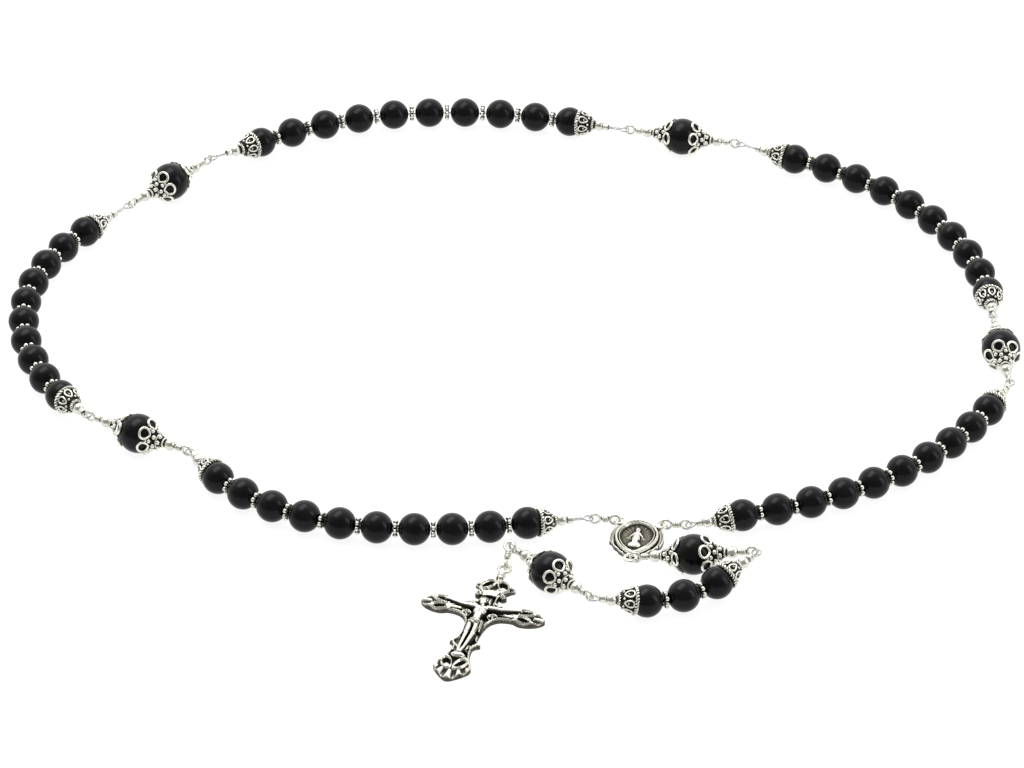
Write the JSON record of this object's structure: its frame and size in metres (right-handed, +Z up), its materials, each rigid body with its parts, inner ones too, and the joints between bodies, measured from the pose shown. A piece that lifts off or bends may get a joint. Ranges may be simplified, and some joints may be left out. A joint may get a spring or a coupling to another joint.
{
  "type": "rosary",
  "caption": "Five-decade prayer rosary laid out as a ring: black stone beads on wire strands joined by eye pins, with a centre medal and a crucifix pendant.",
  "frame": {"origin": "middle of the centre medal's flat back, on the table the rosary lies on", "axes": "+Z up off the table; +Y from the medal towards the far side of the ring of decades; +X to the right"},
  "size_m": [0.261, 0.2613, 0.0108],
  "materials": {
    "onyx_small_bead": "polished black onyx",
    "onyx_big_bead": "polished black onyx",
    "silver_spacer": "bright silver with darkened recesses",
    "silver_rope_cap": "bright silver with darkened recesses",
    "silver_end_fitting": "polished silver",
    "coated_wire": "fine stranded wire with a clear coat",
    "silver_flower_cap": "bright silver with darkened recesses",
    "silver_round_bead": "polished silver",
    "silver_wire": "polished silver wire",
    "silver_medal": "cast silver with darkened recesses",
    "silver_crucifix": "cast silver with darkened recesses",
    "silver_corpus": "cast silver"
  },
  "bodies": {
    "medal": {"medal": "silver_medal"},
    "left_medal_link": {"left_medal_link": "silver_wire"},
    "right_medal_link": {"right_medal_link": "silver_wire"},
    "decade_1": {"decade_1_beads": "onyx_small_bead", "decade_1_spacers": "silver_spacer", "decade_1_bead_caps": "silver_rope_cap", "decade_1_end_beads_and_crimps": "silver_end_fitting", "decade_1_wire": "coated_wire"},
    "decade_2": {"decade_2_beads": "onyx_small_bead", "decade_2_spacers": "silver_spacer", "decade_2_bead_caps": "silver_rope_cap", "decade_2_end_beads_and_crimps": "silver_end_fitting", "decade_2_wire": "coated_wire"},
    "decade_3": {"decade_3_beads": "onyx_small_bead", "decade_3_spacers": "silver_spacer", "decade_3_bead_caps": "silver_rope_cap", "decade_3_end_beads_and_crimps": "silver_end_fitting", "decade_3_wire": "coated_wire"},
    "decade_4": {"decade_4_beads": "onyx_small_bead", "decade_4_spacers": "silver_spacer", "decade_4_bead_caps": "silver_rope_cap", "decade_4_end_beads_and_crimps": "silver_end_fitting", "decade_4_wire": "coated_wire"},
    "decade_5": {"decade_5_beads": "onyx_small_bead", "decade_5_spacers": "silver_spacer", "decade_5_bead_caps": "silver_rope_cap", "decade_5_end_beads_and_crimps": "silver_end_fitting", "decade_5_wire": "coated_wire"},
    "final_three": {"final_three_beads": "onyx_small_bead", "final_three_spacers": "silver_spacer", "final_three_bead_caps": "silver_rope_cap", "final_three_end_beads_and_crimps": "silver_end_fitting", "final_three_wire": "coated_wire"},
    "our_father_1_pin": {"our_father_1_eye_pin": "silver_wire", "our_father_1_flower_caps": "silver_flower_cap", "our_father_1_round_beads": "silver_round_bead"},
    "our_father_1_bead": {"our_father_1_bead": "onyx_big_bead"},
    "our_father_2_pin": {"our_father_2_eye_pin": "silver_wire", "our_father_2_flower_caps": "silver_flower_cap", "our_father_2_round_beads": "silver_round_bead"},
    "our_father_2_bead": {"our_father_2_bead": "onyx_big_bead"},
    "our_father_3_pin": {"our_father_3_eye_pin": "silver_wire", "our_father_3_flower_caps": "silver_flower_cap", "our_father_3_round_beads": "silver_round_bead"},
    "our_father_3_bead": {"our_father_3_bead": "onyx_big_bead"},
    "our_father_4_pin": {"our_father_4_eye_pin": "silver_wire", "our_father_4_flower_caps": "silver_flower_cap", "our_father_4_round_beads": "silver_round_bead"},
    "our_father_4_bead": {"our_father_4_bead": "onyx_big_bead"},
    "our_father_5_pin": {"our_father_5_eye_pin": "silver_wire", "our_father_5_flower_caps": "silver_flower_cap", "our_father_5_round_beads": "silver_round_bead"},
    "our_father_5_bead": {"our_father_5_bead": "onyx_big_bead"},
    "our_father_6_pin": {"our_father_6_eye_pin": "silver_wire", "our_father_6_flower_caps": "silver_flower_cap", "our_father_6_round_beads": "silver_round_bead"},
    "our_father_6_bead": {"our_father_6_bead": "onyx_big_bead"},
    "crucifix_link": {"crucifix_link": "silver_wire"},
    "crucifix": {"crucifix": "silver_crucifix", "corpus": "silver_corpus"}
  },
  "joints": [
    {"name": "left_link_yaw", "type": "hinge", "parent": "medal", "child": "left_medal_link", "pos_m": [-0.00389, 0.00696, 0.00158], "axis": [0, 0, 1], "range_deg": [0, 5]},
    {"name": "decade_1_yaw", "type": "hinge", "parent": "left_medal_link", "child": "decade_1", "pos_m": [-0.01125, 0.0067, 0.0023], "axis": [0, 0, 1], "range_deg": [0, 7]},
    {"name": "our_father_1_yaw", "type": "hinge", "parent": "decade_1", "child": "our_father_1_pin", "pos_m": [-0.11016, 0.03287, 0.0049], "axis": [0, 0, 1], "range_deg": [0, 40]},
    {"name": "decade_2_lift", "type": "hinge", "parent": "our_father_1_pin", "child": "decade_2", "pos_m": [-0.13646, 0.04871, 0.0051], "axis": [0.7986, 0.6018, 0], "range_deg": [0, 35]},
    {"name": "our_father_2_yaw", "type": "hinge", "parent": "decade_2", "child": "our_father_2_pin", "pos_m": [-0.13263, 0.15106, 0.00496], "axis": [0, 0, 1], "range_deg": [0, 40]},
    {"name": "decade_3_lift", "type": "hinge", "parent": "our_father_2_pin", "child": "decade_3", "pos_m": [-0.11222, 0.17474, 0.00504], "axis": [0.6246, -0.781, 0], "range_deg": [0, 35]},
    {"name": "right_link_yaw", "type": "hinge", "parent": "medal", "child": "right_medal_link", "pos_m": [0.00622, 0.005, 0.00158], "axis": [0, 0, 1], "range_deg": [-15, 0]},
    {"name": "decade_5_lift", "type": "hinge", "parent": "right_medal_link", "child": "decade_5", "pos_m": [0.01217, 0.0034, 0.0023], "axis": [0.1564, -0.9877, 0], "range_deg": [0, 45]},
    {"name": "our_father_4_yaw", "type": "hinge", "parent": "decade_5", "child": "our_father_4_pin", "pos_m": [0.09612, 0.06142, 0.0049], "axis": [0, 0, 1], "range_deg": [-40, 0]},
    {"name": "decade_4_lift", "type": "hinge", "parent": "our_father_4_pin", "child": "decade_4", "pos_m": [0.09447, 0.09198, 0.0051], "axis": [0.9998, 0.0175, 0], "range_deg": [0, 35]},
    {"name": "our_father_3_yaw", "type": "hinge", "parent": "decade_4", "child": "our_father_3_pin", "pos_m": [0.03255, 0.18092, 0.00496], "axis": [0, 0, 1], "range_deg": [-45, 0]},
    {"name": "our_father_5_yaw", "type": "hinge", "parent": "medal", "child": "our_father_5_pin", "pos_m": [-0.00167, -0.00885, 0.0015], "axis": [0, 0, 1], "range_deg": [0, 15]},
    {"name": "final_three_yaw", "type": "hinge", "parent": "our_father_5_pin", "child": "final_three", "pos_m": [0.02863, -0.0164, 0.0085], "axis": [0, 0, 1], "range_deg": [0, 60]},
    {"name": "our_father_6_yaw", "type": "hinge", "parent": "final_three", "child": "our_father_6_pin", "pos_m": [-0.01127, -0.03203, 0.00627], "axis": [0, 0, 1], "range_deg": [0, 50]},
    {"name": "crucifix_link_yaw", "type": "hinge", "parent": "our_father_6_pin", "child": "crucifix_link", "pos_m": [-0.03091, -0.0069, 0.00373], "axis": [0, 0, 1], "range_deg": [-50, 0]},
    {"name": "crucifix_lift", "type": "hinge", "parent": "crucifix_link", "child": "crucifix", "pos_m": [-0.03174, -0.01189, 0.00145], "axis": [-0.9511, 0.309, 0], "range_deg": [0, 60]},
    {"name": "our_father_1_bead_spin", "type": "hinge", "parent": "our_father_1_pin", "child": "our_father_1_bead", "pos_m": [-0.12373, 0.04135, 0.005], "axis": [-0.848, 0.5299, 0.0062], "continuous": true},
    {"name": "our_father_2_bead_spin", "type": "hinge", "parent": "our_father_2_pin", "child": "our_father_2_bead", "pos_m": [-0.12213, 0.16313, 0.005], "axis": [0.6561, 0.7547, 0.0028], "continuous": true},
    {"name": "our_father_3_bead_spin", "type": "hinge", "parent": "our_father_3_pin", "child": "our_father_3_bead", "pos_m": [0.0171, 0.18507, 0.005], "axis": [-0.9659, 0.2588, 0.0028], "continuous": true},
    {"name": "our_father_4_bead_spin", "type": "hinge", "parent": "our_father_4_pin", "child": "our_father_4_bead", "pos_m": [0.09528, 0.0774, 0.005], "axis": [-0.0523, 0.9986, 0.0063], "continuous": true},
    {"name": "our_father_5_bead_spin", "type": "hinge", "parent": "our_father_5_pin", "child": "our_father_5_bead", "pos_m": [0.01348, -0.01262, 0.005], "axis": [0.9468, -0.2361, 0.2188], "continuous": true},
    {"name": "our_father_6_bead_spin", "type": "hinge", "parent": "our_father_6_pin", "child": "our_father_6_bead", "pos_m": [-0.02109, -0.01946, 0.005], "axis": [-0.6137, 0.7855, -0.0795], "continuous": true}
  ]
}
